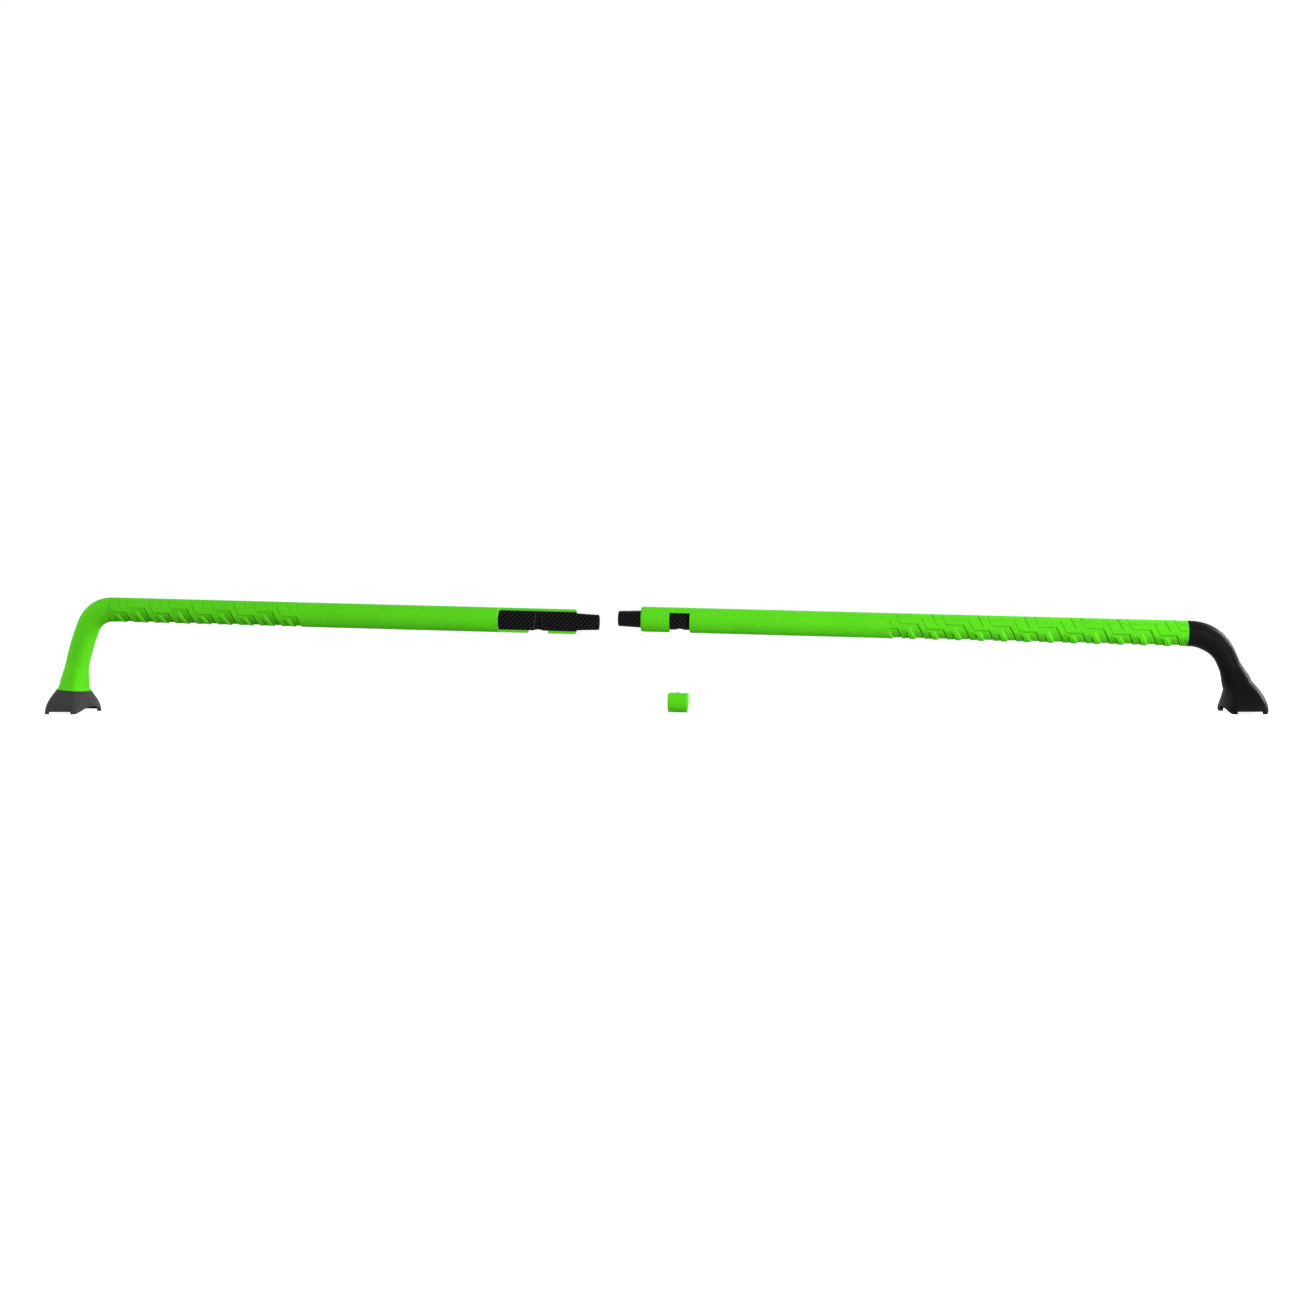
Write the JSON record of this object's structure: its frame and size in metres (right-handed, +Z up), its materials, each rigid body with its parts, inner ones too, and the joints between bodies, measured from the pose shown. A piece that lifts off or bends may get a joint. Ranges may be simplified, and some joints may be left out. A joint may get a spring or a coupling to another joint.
{
  "type": "wing foil boom",
  "caption": "Two-piece handle boom for an inflatable wing: foam-covered carbon halves with saddle feet, joined by a half lap with tapered tongues and a push-on lock clip.",
  "frame": {"origin": "centre of the object's box at floor level, as the halves lie apart", "axes": "+X along the boom from the front foot to the rear foot, +Y across it away from the open face of the front lap, +Z up from the feet"},
  "size_m": [1.3656, 0.078, 0.1332],
  "materials": {
    "grip_foam": "matte, finely grained EVA foam",
    "carbon": "satin carbon twill in clear resin",
    "nylon_grey": "matte glass-filled nylon",
    "nylon_black": "satin glass-filled nylon",
    "core_foam": "closed-cell foam",
    "insert_brass": "turned",
    "clip_plastic": "matte moulded elastomer",
    "key_plastic": "matte moulded nylon"
  },
  "bodies": {
    "front_half": {"front_elbow": "nylon_grey", "front_leg_sleeve": "grip_foam", "front_hand_grip": "grip_foam", "front_joint_grip": "grip_foam", "front_tube": "carbon", "front_spigot": "carbon", "front_foam_core": "core_foam", "front_foot_insert": "insert_brass"},
    "rear_half": {"rear_elbow": "nylon_black", "rear_hand_grip": "grip_foam", "rear_joint_grip": "grip_foam", "rear_tube": "carbon", "rear_spigot": "carbon", "rear_foam_core": "core_foam", "rear_foot_insert": "insert_brass"},
    "lock_clip": {"lock_clip": "clip_plastic", "clip_key": "key_plastic"}
  },
  "joints": [
    {"name": "lap_slide", "type": "slide", "parent": "front_half", "child": "rear_half", "axis": [-1, 0, 0], "range_m": [0, 0.161]},
    {"name": "clip_push", "type": "slide", "parent": "rear_half", "child": "lock_clip", "axis": [0.0314, 0, 0.9995], "range_m": [0, 0.08921]}
  ]
}
